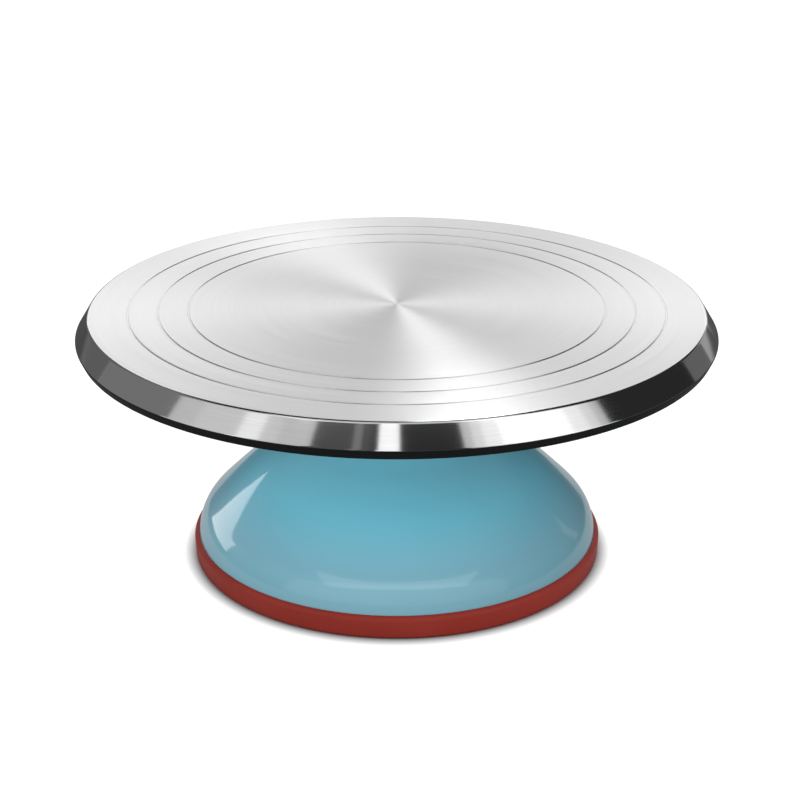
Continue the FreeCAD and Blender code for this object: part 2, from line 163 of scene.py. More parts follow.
# %% The lathe tree
def make_lathe():
    """Geometry tree that turns an outline about the Z axis."""
    build, given, result = geometry_tree("lathe", [
        ("Outline", "NodeSocketGeometry"), ("Steps", "NodeSocketInt"),
        ("Sharp Angle", "NodeSocketFloat"), ("Finish", "NodeSocketMaterial")])
    rows = build.add("GeometryNodeAttributeDomainSize", in_Geometry=given["Outline"]).outputs["Point Count"]
    columns = build.math("ADD", given["Steps"], 1)
    grid = build.add("GeometryNodeMeshGrid", in_Vertices_X=columns, in_Vertices_Y=rows)
    index = build.add("GeometryNodeInputIndex").outputs[0]
    column = build.math("FLOOR", build.math("DIVIDE", build.math("ADD", index, 0.5), rows))
    row = build.math("SUBTRACT", index, build.math("MULTIPLY", column, rows))
    place = build.add("GeometryNodeInputPosition").outputs[0]
    sample = build.add("GeometryNodeSampleIndex", data_type="FLOAT_VECTOR",
                       in_Geometry=given["Outline"], in_Value=place, in_Index=row)
    section = build.add("ShaderNodeSeparateXYZ", in_0=sample.outputs["Value"]).outputs
    angle = build.math("DIVIDE", build.math("MULTIPLY", column, 2 * math.pi), given["Steps"])
    x = build.math("MULTIPLY", section["X"], build.math("COSINE", angle))
    y = build.math("MULTIPLY", section["X"], build.math("SINE", angle))
    spot = build.add("ShaderNodeCombineXYZ", in_0=x, in_1=y, in_2=section["Z"]).outputs[0]
    stored = build.add("GeometryNodeStoreNamedAttribute", data_type="FLOAT2", domain="CORNER",
                       in_Geometry=grid.outputs["Mesh"], in_Name="UVMap",
                       in_Value=grid.outputs["UV Map"])
    moved = build.add("GeometryNodeSetPosition", in_Geometry=stored.outputs[0], in_Position=spot)
    welded = build.add("GeometryNodeMergeByDistance", in_Geometry=moved.outputs[0], in_Distance=1e-6)
    smooth = build.add("GeometryNodeSetShadeSmooth", in_Geometry=welded.outputs[0], in_Shade_Smooth=True)
    edge = build.add("GeometryNodeInputMeshEdgeAngle").outputs["Unsigned Angle"]
    sharp = build.add("FunctionNodeCompare", operation="GREATER_THAN", in_0=edge, in_1=given["Sharp Angle"])
    creased = build.add("GeometryNodeSetShadeSmooth", domain="EDGE", in_Geometry=smooth.outputs[0],
                        in_Selection=sharp.outputs[0], in_Shade_Smooth=False)
    real = build.add("GeometryNodeRealizeInstances", in_Geometry=creased.outputs[0])
    dressed = build.add("GeometryNodeSetMaterial", in_Geometry=real.outputs[0], in_Material=given["Finish"])
    build.feed(result, dressed.outputs[0])
    return build.tree


LATHE = make_lathe()
print("lathe tree has", len(LATHE.nodes), "nodes")


# %% [markdown]
# ### From a tree to a plain mesh
#
# Each piece is kept as a plain mesh, with no modifier left on it. Depending on which way
# the outline runs, the lathe may leave the faces looking inwards. The volume that they
# enclose then comes out negative, which is a simple test, and the faces are turned round.


# %% Run a tree on a mesh and keep the result as a plain mesh
def grown(name, mesh, tree, **values):
    """Object made by a geometry tree from a mesh, with the modifier already worked out."""
    seed = bpy.data.objects.new(name + "_seed", mesh)
    SCENE.collection.objects.link(seed)
    modifier = seed.modifiers.new("grow", "NODES")
    modifier.node_group = tree
    sockets = {item.name: item.identifier for item in tree.interface.items_tree if item.in_out == "INPUT"}
    for label, value in values.items():
        modifier[sockets[label.replace("_", " ")]] = value
    seed.update_tag()
    graph = bpy.context.evaluated_depsgraph_get()
    result = bpy.data.meshes.new_from_object(seed.evaluated_get(graph), depsgraph=graph)
    bpy.data.objects.remove(seed)
    result.name = name
    result.materials.clear()
    result.materials.append(values["Finish"])
    for face in result.polygons:
        face.material_index = 0
    volume = sum(face.area * face.center.dot(face.normal) for face in result.polygons) / 3
    if volume < 0:
        result.flip_normals()
    piece = bpy.data.objects.new(name, result)
    SCENE.collection.objects.link(piece)
    print(f"{name}: {len(result.polygons)} faces, {abs(volume) * 1e6:.1f} cm3")
    return piece


def turned(name, points, finish, steps=360, sharp=math.radians(32)):
    """Object turned on the lathe from an outline of (radius, height) points."""
    mesh = bpy.data.meshes.new(name + "_outline")
    chain = [(index, index + 1) for index in range(len(points) - 1)]
    mesh.from_pydata([(point.x, 0, point.y) for point in points], chain, [])
    return grown(name, mesh, LATHE, Steps=steps, Sharp_Angle=sharp, Finish=finish)


# %% [markdown]
# ## Finishes
#
# Every finish is a small node material on Object coordinates, so it needs no images and it
# stays put when the plate spins. Most of the pieces are turned, so the key measure is the
# distance from the spin axis. A noise that changes fast with that distance, and slowly
# round the axis, gives the fine rings that a cutting tool or a polishing pad leaves.


# %% Material helpers
def finish_tree(name, **settings):
    """New material; returns it, its tree builder and its Principled shader node."""
    material = bpy.data.materials.new(name)
    material.use_nodes = True
    build = Tree(material.node_tree)
    shader = build.nodes["Principled BSDF"]
    for key, value in settings.items():
        shader.inputs[key.replace("_", " ")].default_value = value
    return material, build, shader


def spin_coordinates(build):
    """Distance from the spin axis, height, and the direction round the axis as two numbers."""
    place = build.add("ShaderNodeTexCoord").outputs["Object"]
    axes = build.add("ShaderNodeSeparateXYZ", in_0=place).outputs
    squares = build.math("ADD", build.math("POWER", axes["X"], 2), build.math("POWER", axes["Y"], 2))
    radius = build.math("SQRT", squares)
    safe = build.math("MAXIMUM", radius, 1e-5)
    across, along = build.math("DIVIDE", axes["X"], safe), build.math("DIVIDE", axes["Y"], safe)
    return radius, axes["Z"], across, along


def ring_noise(build, spin, rings, sweep, detail=2.0):
    """Noise in rings: rings per metre across them, and sweep changes round the axis."""
    radius, height, across, along = spin
    path = build.math("MULTIPLY", build.math("ADD", radius, height), rings)
    where = build.add("ShaderNodeCombineXYZ", in_0=path, in_1=build.math("MULTIPLY", across, sweep),
                      in_2=build.math("MULTIPLY", along, sweep)).outputs[0]
    return build.add("ShaderNodeTexNoise", in_Vector=where, in_Scale=1.0, in_Detail=detail).outputs[0]


def remapped(build, value, low, high, from_low=0.3, from_high=0.7):
    """A value moved from one range to another."""
    return build.add("ShaderNodeMapRange", in_0=value, in_1=from_low, in_2=from_high,
                     in_3=low, in_4=high).outputs[0]


def blended(build, factor, first, second):
    """Colour mixed by a factor from two colours, each a tuple or another node's output."""
    mix = build.add("ShaderNodeMix", data_type="RGBA")
    build.feed(mix.inputs[0], factor)
    for socket, colour in ((mix.inputs[6], first), (mix.inputs[7], second)):
        build.feed(socket, (*colour, 1) if isinstance(colour, tuple) else colour)
    return mix.outputs[2]


def bumped(build, shader, height, strength, distance):
    """Join a height to a shader as a bump."""
    bump = build.add("ShaderNodeBump", in_Height=height, in_Strength=strength, in_Distance=distance)
    build.feed(shader.inputs["Normal"], bump.outputs[0])


def round_tangent(build, shader):
    """Point a shader's anisotropy round the spin axis."""
    tangent = build.add("ShaderNodeTangent", direction_type="RADIAL", axis="Z")
    build.feed(shader.inputs["Tangent"], tangent.outputs[0])


# %% [markdown]
# ### Brushed and polished metal
#
# A lathe leaves fine lines round the axis, so a light makes a bright wedge that points at the
# centre instead of a round spot. The shader calls this anisotropy. Its tangent runs round the
# axis, and a quarter turn of the anisotropy puts the spread across the lines.

# %% Turned and brushed metals
QUARTER_TURN = 0.25


def turned_metal(name, light, dark, roughness, spread, anisotropy, rings=9000, depth=0.00002,
                 fade=None, metallic=1.0, specular=0.5):
    """Surface finished on a lathe; fade gives two radii and how much darker the inner one is."""
    material, build, shader = finish_tree(name, Metallic=metallic, Specular_IOR_Level=specular,
                                          Anisotropic=anisotropy, Anisotropic_Rotation=QUARTER_TURN)
    spin = spin_coordinates(build)
    fine = ring_noise(build, spin, rings, 1.5, 3.0)
    broad = ring_noise(build, spin, rings / 12, 0.8)
    colour = blended(build, remapped(build, fine, 0, 1), light, dark)
    if fade:
        inner, outer, shade = fade
        tone = build.add("ShaderNodeVectorMath", operation="SCALE", in_0=colour)
        build.feed(tone.inputs["Scale"], remapped(build, spin[0], shade, 1.0, inner, outer))
        colour = tone.outputs[0]
    build.feed(shader.inputs["Base Color"], colour)
    build.feed(shader.inputs["Roughness"], remapped(build, broad, roughness - spread, roughness + spread))
    round_tangent(build, shader)
    bumped(build, shader, fine, 0.25, depth)
    return material


BRUSHED_FACE = turned_metal("brushed_aluminium_face", (0.96, 0.96, 0.965), (0.89, 0.89, 0.9),
                            0.34, 0.03, 0.85, fade=(0.07, 0.125, 0.87))
POLISHED_BEVEL = turned_metal("polished_aluminium_bevel", (0.92, 0.92, 0.925), (0.86, 0.86, 0.87),
                              0.11, 0.01, 0.88, depth=0.00001)
print("metals:", BRUSHED_FACE.name, POLISHED_BEVEL.name)

# %% [markdown]
# ## The plate's other finishes
#
# The underside never sees a polishing wheel. It is left as cast: a rougher grey with a sandy
# grain. The narrow turned edge below the bevel gets a near-black colour: painted shade, standing
# in for the dark it mirrors. The same lathe finish is used, with the metallic value at zero and little
# gloss.


# %% As-cast and blackened aluminium
def cast_metal(name, light, dark, roughness):
    """Unpolished cast metal with a sandy grain."""
    material, build, shader = finish_tree(name, Metallic=1.0)
    place = build.add("ShaderNodeTexCoord").outputs["Object"]
    grain = build.add("ShaderNodeTexNoise", in_Vector=place, in_Scale=1400.0, in_Detail=3.0).outputs[0]
    patches = build.add("ShaderNodeTexNoise", in_Vector=place, in_Scale=45.0, in_Detail=4.0).outputs[0]
    build.feed(shader.inputs["Base Color"], blended(build, remapped(build, patches, 0, 1), light, dark))
    build.feed(shader.inputs["Roughness"], remapped(build, grain, roughness - 0.08, roughness + 0.08))
    bumped(build, shader, grain, 0.5, 0.00012)
    return material


CAST_UNDERSIDE = cast_metal("cast_aluminium_underside", (0.62, 0.62, 0.63), (0.5, 0.5, 0.51), 0.5)
# Near-black colour on the rim edge: painted shade, standing in for the dark that this edge mirrors.
RIM_EDGE_PAINTED_SHADE = turned_metal("rim_edge_painted_shade", (0.014, 0.015, 0.016), (0.009, 0.01, 0.01), 0.45, 0.05, 0.5,
                        metallic=0.0, specular=0.015)
print("other plate finishes:", CAST_UNDERSIDE.name, RIM_EDGE_PAINTED_SHADE.name)

# %% [markdown]
# ## The plate
#
# The plate is one casting, turned on its face and rim. Its face is flat with three shallow
# grooves for centring a cake. The bevel below the face is polished. Under the widest line
# the edge tucks inward, and inside the rim a shallow recess saves weight. The sizes come
# from the frame's plate: its top, its widest radius and its lowest point.

# %% Plate sizes
plate_low, plate_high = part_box("turntable_plate")
PLATE_TOP = plate_high.z / MM
PLATE_RADIUS = plate_high.x / MM
RIM_FOOT = plate_low.z / MM
BEVEL_HEIGHT, BEVEL_INSET = 10.4, 6.4
RIM_FOOT_INSET, RIM_INNER_INSET = 2.1, 7.5
WEB_THICKNESS = 4.0
BEVEL_FOOT = PLATE_TOP - BEVEL_HEIGHT
RIM_TOP_RADIUS = PLATE_RADIUS - BEVEL_INSET
RIM_FOOT_RADIUS = PLATE_RADIUS - RIM_FOOT_INSET
RIM_INNER_RADIUS = PLATE_RADIUS - RIM_INNER_INSET
WEB_FOOT = PLATE_TOP - WEB_THICKNESS
BOSS_RADIUS = 32.0
BOSS_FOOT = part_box("spindle")[1].z / MM
OUTER_GROOVE_INSET, GROOVE_PITCH, GROOVE_COUNT = 25.0, 14.2, 3
GROOVES = [PLATE_RADIUS - OUTER_GROOVE_INSET - GROOVE_PITCH * index for index in range(GROOVE_COUNT)]
GROOVE_HALF_WIDTH, GROOVE_DEPTH, GROOVE_SLOPE = 0.4, 0.5, 0.15
print(f"plate: {2 * PLATE_RADIUS:.1f} mm across, top at {PLATE_TOP:.1f}, grooves at", GROOVES)


# %% The plate's outline, from the centre of the face round to the boss below
def plate_outline():
    """Section of the plate."""
    corners = [(0, PLATE_TOP, 0)]
    for radius in (20, 40, 60, 80):
        corners.append((radius, PLATE_TOP, 0))
    for groove in reversed(GROOVES):
        near, far = groove - GROOVE_HALF_WIDTH, groove + GROOVE_HALF_WIDTH
        floor = PLATE_TOP - GROOVE_DEPTH
        corners += [(near - GROOVE_SLOPE, PLATE_TOP, 0.25), (near + GROOVE_SLOPE, floor, 0.15),
                    (far - GROOVE_SLOPE, floor, 0.15), (far + GROOVE_SLOPE, PLATE_TOP, 0.25)]
    corners += [
        (RIM_TOP_RADIUS, PLATE_TOP, 1.9), (PLATE_RADIUS, BEVEL_FOOT, 1.2),
        (RIM_FOOT_RADIUS, RIM_FOOT, 1.0), (RIM_INNER_RADIUS, RIM_FOOT, 1.0),
        (RIM_INNER_RADIUS, WEB_FOOT, 3.0), (120, WEB_FOOT, 0), (90, WEB_FOOT, 0), (60, WEB_FOOT, 0),
        (BOSS_RADIUS, WEB_FOOT, 2.0), (BOSS_RADIUS, BOSS_FOOT, 0.8), (0, BOSS_FOOT, 0)]
    return outline(scaled(corners))


spun_plate = turned("spun_plate", plate_outline(), BRUSHED_FACE, steps=448)

# %% [markdown]
# ### One piece, four finishes
#
# The lathe tree gives the whole plate one material. The bevel, the tucked edge and the
# underside are then picked out by where each face lies and which way it looks. Picking by
# rule is safer than picking by face number, which changes with every edit of the outline.


# %% Give the plate its finishes by place
BEVEL_MARGIN, EDGE_MARGIN, WEB_MARGIN = 0.6, 1.0, 0.2


def dress_plate(piece):
    """Assign the bevel finish, the edge's painted shade and the underside finish."""
    for material in (POLISHED_BEVEL, RIM_EDGE_PAINTED_SHADE, CAST_UNDERSIDE):
        piece.data.materials.append(material)
    counts = [0, 0, 0, 0]
    for face in piece.data.polygons:
        radius = math.hypot(face.center.x, face.center.y) / MM
        height = face.center.z / MM
        if radius > RIM_TOP_RADIUS - BEVEL_MARGIN and height > BEVEL_FOOT:
            face.material_index = 1
        elif radius > RIM_FOOT_RADIUS - EDGE_MARGIN and height <= BEVEL_FOOT:
            face.material_index = 2
        elif face.normal.z < 0.5 and height < WEB_FOOT + WEB_MARGIN:
            face.material_index = 3
        counts[face.material_index] += 1
    print("plate faces by finish:", counts)


dress_plate(spun_plate)
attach(spun_plate, "platter")
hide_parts("turntable_plate")

# %% [markdown]
# ### Ribs under the plate
#
# Eight cast ribs run from the boss to the rim and stiffen the thin disc. They are all the
# same, so one small tapered bar is made, and a node tree sets turned copies of it round the
# axis. The tree's named inputs are the piece, the count, the first angle and the finish.


# %% Tree that sets copies round the spin axis
def make_round_pattern():
    """Geometry tree that sets turned copies of its mesh round the Z axis."""
    build, given, result = geometry_tree("round_pattern", [
        ("Piece", "NodeSocketGeometry"), ("Count", "NodeSocketInt"),
        ("First Angle", "NodeSocketFloat"), ("Finish", "NodeSocketMaterial")])
    points = build.add("GeometryNodePoints", in_Count=given["Count"], in_Position=(0, 0, 0))
    index = build.add("GeometryNodeInputIndex").outputs[0]
    step = build.math("DIVIDE", 2 * math.pi, given["Count"])
    angle = build.math("MULTIPLY_ADD", index, step, given["First Angle"])
    turn = build.add("ShaderNodeCombineXYZ", in_2=angle).outputs[0]
    copies = build.add("GeometryNodeInstanceOnPoints", in_Points=points.outputs[0],
                       in_Instance=given["Piece"], in_Rotation=turn)
    real = build.add("GeometryNodeRealizeInstances", in_Geometry=copies.outputs[0])
    dressed = build.add("GeometryNodeSetMaterial", in_Geometry=real.outputs[0], in_Material=given["Finish"])
    build.feed(result, dressed.outputs[0])
    return build.tree


ROUND_PATTERN = make_round_pattern()


# %% One rib, then eight
def rib_mesh(inner, outer, top, inner_drop, outer_drop, half_width, draft):
    """Tapered bar under the plate along +X, a little narrower at its free edge."""
    points = []
    for radius, drop in ((inner, inner_drop), (outer, outer_drop)):
        for side in (-1, 1):
            points.append((radius, side * half_width, top))
            points.append((radius, side * (half_width - draft), top - drop))
    faces = [(0, 2, 3, 1), (4, 5, 7, 6), (0, 1, 5, 4), (2, 6, 7, 3), (1, 3, 7, 5), (0, 4, 6, 2)]
    mesh = bpy.data.meshes.new("rib")
    mesh.from_pydata([[value * MM for value in point] for point in points], [], faces)
    return mesh


RIB_BITE = 1
RIB = rib_mesh(inner=BOSS_RADIUS - RIB_BITE, outer=RIM_INNER_RADIUS + RIB_BITE, top=WEB_FOOT + 0.5,
               inner_drop=4.4, outer_drop=2.5, half_width=1.3, draft=0.3)
plate_ribs = grown("plate_ribs", RIB, ROUND_PATTERN, Count=8, First_Angle=math.radians(22.5),
                   Finish=CAST_UNDERSIDE)
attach(plate_ribs, "platter")

# %% [markdown]
# ## The enamelled bell
#
# The base is a bell under a thick coat of light-blue gloss enamel. Its section is four lines
# joined by large arcs: an upright foot, a leaning flank, a flatter crown and an upright neck.
# The enamel is a coloured layer with a clear coat over it. Low on the flank its colour is paler,
# a painted reflection of the pale floor, and towards the foot it is darker, a painted shade. Real
# enamel is never quite flat, so a very low bump makes its reflections waver.


# %% Gloss enamel
# Heights where the painted reflection (paler low flank) and the painted shade (darker foot) fade out.
PAINTED_REFLECTION_HEIGHTS = (0.026, 0.044)
PAINTED_SHADE_HEIGHTS = (0.014, 0.046)
FOOT_PAINTED_SHADE = 0.7


def enamel(name, colour, shade, painted_reflection_colour):
    """Gloss enamel: pigment below, clear coat above, painted reflection and painted shade near the foot,
    faint orange peel.
    """
    material, build, shader = finish_tree(name, Roughness=0.4, Specular_IOR_Level=0.2, Coat_Weight=1.0,
                                          Coat_Roughness=0.07, Coat_IOR=1.5)
    place = build.add("ShaderNodeTexCoord").outputs["Object"]
    drift = build.add("ShaderNodeTexNoise", in_Vector=place, in_Scale=9.0, in_Detail=2.0).outputs[0]
    peel = build.add("ShaderNodeTexNoise", in_Vector=place, in_Scale=160.0, in_Detail=1.0).outputs[0]
    height = build.add("ShaderNodeSeparateXYZ", in_0=place).outputs["Z"]
    body = blended(build, remapped(build, drift, 0, 1), colour, shade)
    # Painted reflection: the colour turns paler low on the flank, standing in for the pale floor mirrored
    # in the coat.
    pigment_and_painted_reflection = blended(build, remapped(build, height, 0, 1, *PAINTED_REFLECTION_HEIGHTS), painted_reflection_colour, body)
    # Painted shade: the colour is scaled darker towards the foot.
    tone = build.add("ShaderNodeVectorMath", operation="SCALE", in_0=pigment_and_painted_reflection)
    build.feed(tone.inputs["Scale"], remapped(build, height, FOOT_PAINTED_SHADE, 1.0, *PAINTED_SHADE_HEIGHTS))
    build.feed(shader.inputs["Base Color"], tone.outputs[0])
    bump = build.add("ShaderNodeBump", in_Height=peel, in_Strength=0.12, in_Distance=0.0002)
    build.feed(shader.inputs["Normal"], bump.outputs[0])
    build.feed(shader.inputs["Coat Normal"], bump.outputs[0])
    return material


# The last colour is the paler blue of the painted reflection low on the flank.
BLUE_ENAMEL = enamel("light_blue_enamel", (0.15, 0.5, 0.63), (0.14, 0.48, 0.61), (0.195, 0.435, 0.53))
print("enamel:", BLUE_ENAMEL.name)

# %% Bell sizes and outline
shell_low, shell_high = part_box("base_shell")
ring_low, ring_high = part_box("non_slip_ring")
SHELL_FOOT = shell_low.z / MM
NECK_TOP = shell_high.z / MM
BELL_RADIUS = shell_high.x / MM
RING_TOP = ring_high.z / MM
RING_BITE = 1.6
RING_SEAT = BELL_RADIUS - RING_BITE
NECK_RADIUS = 33.0
NECK_BORE = 24.05
SHELL_WALL = 4.0
FOOT_ROUND, SHOULDER_ROUND, NECK_ROUND = 23.0, 240.0, 44.0
FLANK_LEAN, CROWN_LEAN = math.radians(44), math.radians(55)
FLANK_FOOT, SHOULDER_INSET = SHELL_FOOT + 16.0, 24.3
SHOULDER_RADIUS = BELL_RADIUS - SHOULDER_INSET
SHOULDER_HEIGHT = FLANK_FOOT + SHOULDER_INSET / math.tan(FLANK_LEAN)
print(f"bell: {2 * BELL_RADIUS:.1f} mm across, neck top at {NECK_TOP:.1f}")


def bell_shoulder(inset):
    """Where the flank and crown lines cross when both are set in by inset."""
    halfway = (FLANK_LEAN + CROWN_LEAN) / 2
    setback = inset / math.cos((CROWN_LEAN - FLANK_LEAN) / 2)
    return SHOULDER_RADIUS - setback * math.cos(halfway), SHOULDER_HEIGHT - setback * math.sin(halfway)


def bell_height(radius, inset, lean):
    """Height of the flank or crown line, set in by inset, at a radius."""
    shoulder = bell_shoulder(inset)
    return shoulder[1] + (shoulder[0] - radius) / math.tan(lean)


def bell_outline():
    """Section of the bell, down the inside and up the outside to the neck."""
    inner_neck = NECK_RADIUS - SHELL_WALL
    inner_foot = BELL_RADIUS - SHELL_WALL
    ceiling = NECK_TOP - SHELL_WALL
    corners = [
        (NECK_BORE, NECK_TOP, 0.3), (NECK_BORE, ceiling, 0), (inner_neck, ceiling, 2.0),
        (inner_neck, bell_height(inner_neck, SHELL_WALL, CROWN_LEAN), NECK_ROUND + SHELL_WALL),
        (*bell_shoulder(SHELL_WALL), SHOULDER_ROUND - SHELL_WALL),
        (inner_foot, bell_height(inner_foot, SHELL_WALL, FLANK_LEAN), FOOT_ROUND - SHELL_WALL),
        (inner_foot, SHELL_FOOT, 0.4), (RING_SEAT, SHELL_FOOT, 0.4), (RING_SEAT, RING_TOP, 0),
        (BELL_RADIUS, RING_TOP, 0.25), (BELL_RADIUS, FLANK_FOOT, FOOT_ROUND),
        (*bell_shoulder(0), SHOULDER_ROUND),
        (NECK_RADIUS, bell_height(NECK_RADIUS, 0, CROWN_LEAN), NECK_ROUND), (NECK_RADIUS, NECK_TOP, 3.0)]
    return outline(scaled(corners), closed=True, arc_step=math.radians(3))


enamel_bell = turned("enamel_bell", bell_outline(), BLUE_ENAMEL, steps=320)
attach(enamel_bell, "base")
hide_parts("base_shell")

# %% [markdown]
# ### Posts inside the bell
#
# Four long posts take the cover's screws and four short ones hang over the bearing
# housing's flange. They are cast with the bell and are seen only with the cover off.


# %% Screw posts
def post_mesh(radius, foot, top_near, top_far, place, sides=32):
    """Round post at +X whose top slopes with the bell's inner wall."""
    points, faces = [], []
    for step in range(sides):
        angle = 2 * math.pi * step / sides
        x, y = place + radius * math.cos(angle), radius * math.sin(angle)
        lean = (x - (place - radius)) / (2 * radius)
        top = top_near + (top_far - top_near) * lean
        points += [(x * MM, y * MM, foot * MM), (x * MM, y * MM, top * MM)]
        following = (step + 1) % sides
        faces.append((2 * step, 2 * following, 2 * following + 1, 2 * step + 1))
    faces.append(tuple(2 * step for step in reversed(range(sides))))
    faces.append(tuple(2 * step + 1 for step in range(sides)))
    mesh = bpy.data.meshes.new("post")
    mesh.from_pydata(points, [], faces)
    return mesh


def shell_post(name, radius, foot, place, first):
    """Four posts round the axis that reach into the shell's wall."""
    inset = SHELL_WALL / 2
    top_near = bell_height(place - radius, inset, CROWN_LEAN)
    top_far = bell_height(place + radius, inset, CROWN_LEAN)
    piece = grown(name, post_mesh(radius, foot, top_near, top_far, place), ROUND_PATTERN, Count=4,
                  First_Angle=first, Finish=BLUE_ENAMEL)
    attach(piece, "base")


COVER_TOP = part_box("bottom_cover")[1].z / MM
shell_post("cover_posts", radius=5.0, foot=COVER_TOP, place=68.0, first=math.radians(45))
shell_post("housing_posts", radius=5.5, foot=62.0, place=36.0, first=0.0)

# %% [markdown]
# ## The silicone ring
#
# A brick-red silicone ring is stretched round the bell's foot and laps under it. It grips
# the counter. Moulded silicone is matte with a soft sheen, and it has a very fine tooth
# and a slight unevenness in its colour where dust and handling have marked it.


# %% Matte silicone
def silicone(name, colour, worn):
    """Matte moulded rubber with a soft bloom."""
    material, build, shader = finish_tree(name, Sheen_Weight=0.02, Sheen_Roughness=0.5,
                                          Specular_IOR_Level=0.2)
    place = build.add("ShaderNodeTexCoord").outputs["Object"]
    bloom = build.add("ShaderNodeTexNoise", in_Vector=place, in_Scale=38.0, in_Detail=5.0).outputs[0]
    tooth = build.add("ShaderNodeTexNoise", in_Vector=place, in_Scale=2200.0, in_Detail=2.0).outputs[0]
    build.feed(shader.inputs["Base Color"], blended(build, remapped(build, bloom, 0, 1), colour, worn))
    build.feed(shader.inputs["Roughness"], remapped(build, bloom, 0.5, 0.62))
    bumped(build, shader, tooth, 0.3, 0.00005)
    return material


RED_SILICONE = silicone("brick_red_silicone", (0.29, 0.026, 0.016), (0.32, 0.032, 0.021))


# %% Ring outline with its grip grooves
RING_RADIUS, RING_BORE, RING_DRAFT = ring_high.x / MM, 84.0, 0.6
GRIP_GROOVES = (88.0, 91.5, 95.0)
GRIP_HALF_WIDTH, GRIP_DEPTH = 0.6, 0.8


def ring_outline():
    """Section of the ring, with three grooves in the face that grips the counter."""
    corners = [(RING_SEAT, SHELL_FOOT, 0), (RING_BORE, SHELL_FOOT, 0.6), (RING_BORE, 0, 0.6)]
    for groove in GRIP_GROOVES:
        near, far = groove - GRIP_HALF_WIDTH, groove + GRIP_HALF_WIDTH
        corners += [(near, 0, 0.1), (near, GRIP_DEPTH, 0.3), (far, GRIP_DEPTH, 0.3), (far, 0, 0.1)]
    corners += [(RING_RADIUS - RING_DRAFT, 0, 1.6), (RING_RADIUS, RING_TOP, 2.4), (RING_SEAT, RING_TOP, 0)]
    return outline(scaled(corners), closed=True, arc_step=math.radians(9))


grip_ring = turned("grip_ring", ring_outline(), RED_SILICONE, steps=384)
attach(grip_ring, "base")
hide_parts("non_slip_ring")

# %% [markdown]
# ## The cover under the base
#
# A dished plastic plate closes the bell from below. It is injection moulded, so it has a
# spark-eroded texture: a fine random grain, the same everywhere. Three shallow rings are
# sunk in its underside. Its four screws are the frame's own and only get a finish further down.


# %% Moulded plastic
def moulded_plastic(name, colour, worn):
    """Injection-moulded plastic with a spark-eroded grain."""
    material, build, shader = finish_tree(name, Roughness=0.5)
    place = build.add("ShaderNodeTexCoord").outputs["Object"]
    grain = build.add("ShaderNodeTexNoise", in_Vector=place, in_Scale=1500.0, in_Detail=2.0).outputs[0]
    scuff = build.add("ShaderNodeTexNoise", in_Vector=place, in_Scale=24.0, in_Detail=6.0).outputs[0]
    build.feed(shader.inputs["Base Color"], blended(build, remapped(build, scuff, 0, 1), colour, worn))
    build.feed(shader.inputs["Roughness"], remapped(build, scuff, 0.42, 0.58))
    bumped(build, shader, grain, 0.4, 0.00008)
    return material


GREY_PLASTIC = moulded_plastic("grey_moulded_plastic", (0.52, 0.53, 0.54), (0.46, 0.47, 0.48))


# %% Cover outline
COVER_RINGS = (14, 30, 46)


def cover_outline():
    """Section of the dished cover, with shallow rings sunk in its underside."""
    wall, dish, edge = 2.0, 77.0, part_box("bottom_cover")[1].x / MM
    foot, top, under = SHELL_FOOT, COVER_TOP, COVER_TOP - wall
    corners = [(0, under, 0)]
    for radius in COVER_RINGS:
        corners += [(radius, under, 0), (radius + 0.3, under + 0.4, 0), (radius + 1.1, under + 0.4, 0),
                    (radius + 1.4, under, 0)]
    corners += [
        (dish - wall, under, 0.5), (dish + wall / 2, foot, 1.5), (edge, foot, 0.4),
        (edge, foot + wall, 0.4), (dish + wall, foot + wall, 0.5), (dish, top, 1.5), (0, top, 0)]
    return outline(scaled(corners))


underside_cover = turned("underside_cover", cover_outline(), GREY_PLASTIC, steps=288)
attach(underside_cover, "base")
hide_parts("bottom_cover")

# %% [markdown]
# ## Finishes for the pieces that keep their frame shapes
#
# The spindle, housing, bearings, circlips and screws are small turned or pressed pieces, and
# their frame shapes are already right. Each gets the finish its maker would give it: turned
# steel, ground races, mirror balls, blued springs, zinc plate, machined aluminium, brass and
# black rubber.


# %% Steel, brass and rubber finishes
def plated(name, light, dark, roughness):
    """Thin bright plating over steel, a little cloudy."""
    material, build, shader = finish_tree(name, Metallic=1.0)
    place = build.add("ShaderNodeTexCoord").outputs["Object"]
    cloud = build.add("ShaderNodeTexNoise", in_Vector=place, in_Scale=260.0, in_Detail=4.0).outputs[0]
    build.feed(shader.inputs["Base Color"], blended(build, remapped(build, cloud, 0, 1), light, dark))
    build.feed(shader.inputs["Roughness"], remapped(build, cloud, roughness - 0.07, roughness + 0.07))
    bumped(build, shader, cloud, 0.2, 0.00003)
    return material


BLACK_RUBBER = silicone("black_nitrile_rubber", (0.022, 0.022, 0.023), (0.04, 0.04, 0.04))
SMALL_FINISHES = {
    "turned_steel": turned_metal("turned_steel", (0.66, 0.66, 0.67), (0.52, 0.52, 0.53), 0.28, 0.05, 0.6,
                                 rings=6000),
    "turned_aluminium": turned_metal("machined_aluminium", (0.82, 0.82, 0.83), (0.7, 0.7, 0.71), 0.32,
                                     0.05, 0.6, rings=5000),
    "bearing_steel": turned_metal("ground_bearing_steel", (0.7, 0.7, 0.71), (0.62, 0.62, 0.63), 0.14,
                                  0.03, 0.4, rings=12000),
    "polished_balls": plated("mirror_steel", (0.8, 0.8, 0.81), (0.76, 0.76, 0.77), 0.1),
    "spring_steel": plated("blued_spring_steel", (0.12, 0.13, 0.16), (0.07, 0.075, 0.09), 0.36),
    "plated_screw_steel": plated("zinc_plate", (0.72, 0.7, 0.64), (0.6, 0.59, 0.56), 0.3),
    "brass_cage": turned_metal("pressed_brass", (0.78, 0.58, 0.26), (0.66, 0.47, 0.2), 0.28, 0.06, 0.3,
                               rings=4000),
    "black_rubber": BLACK_RUBBER,
}
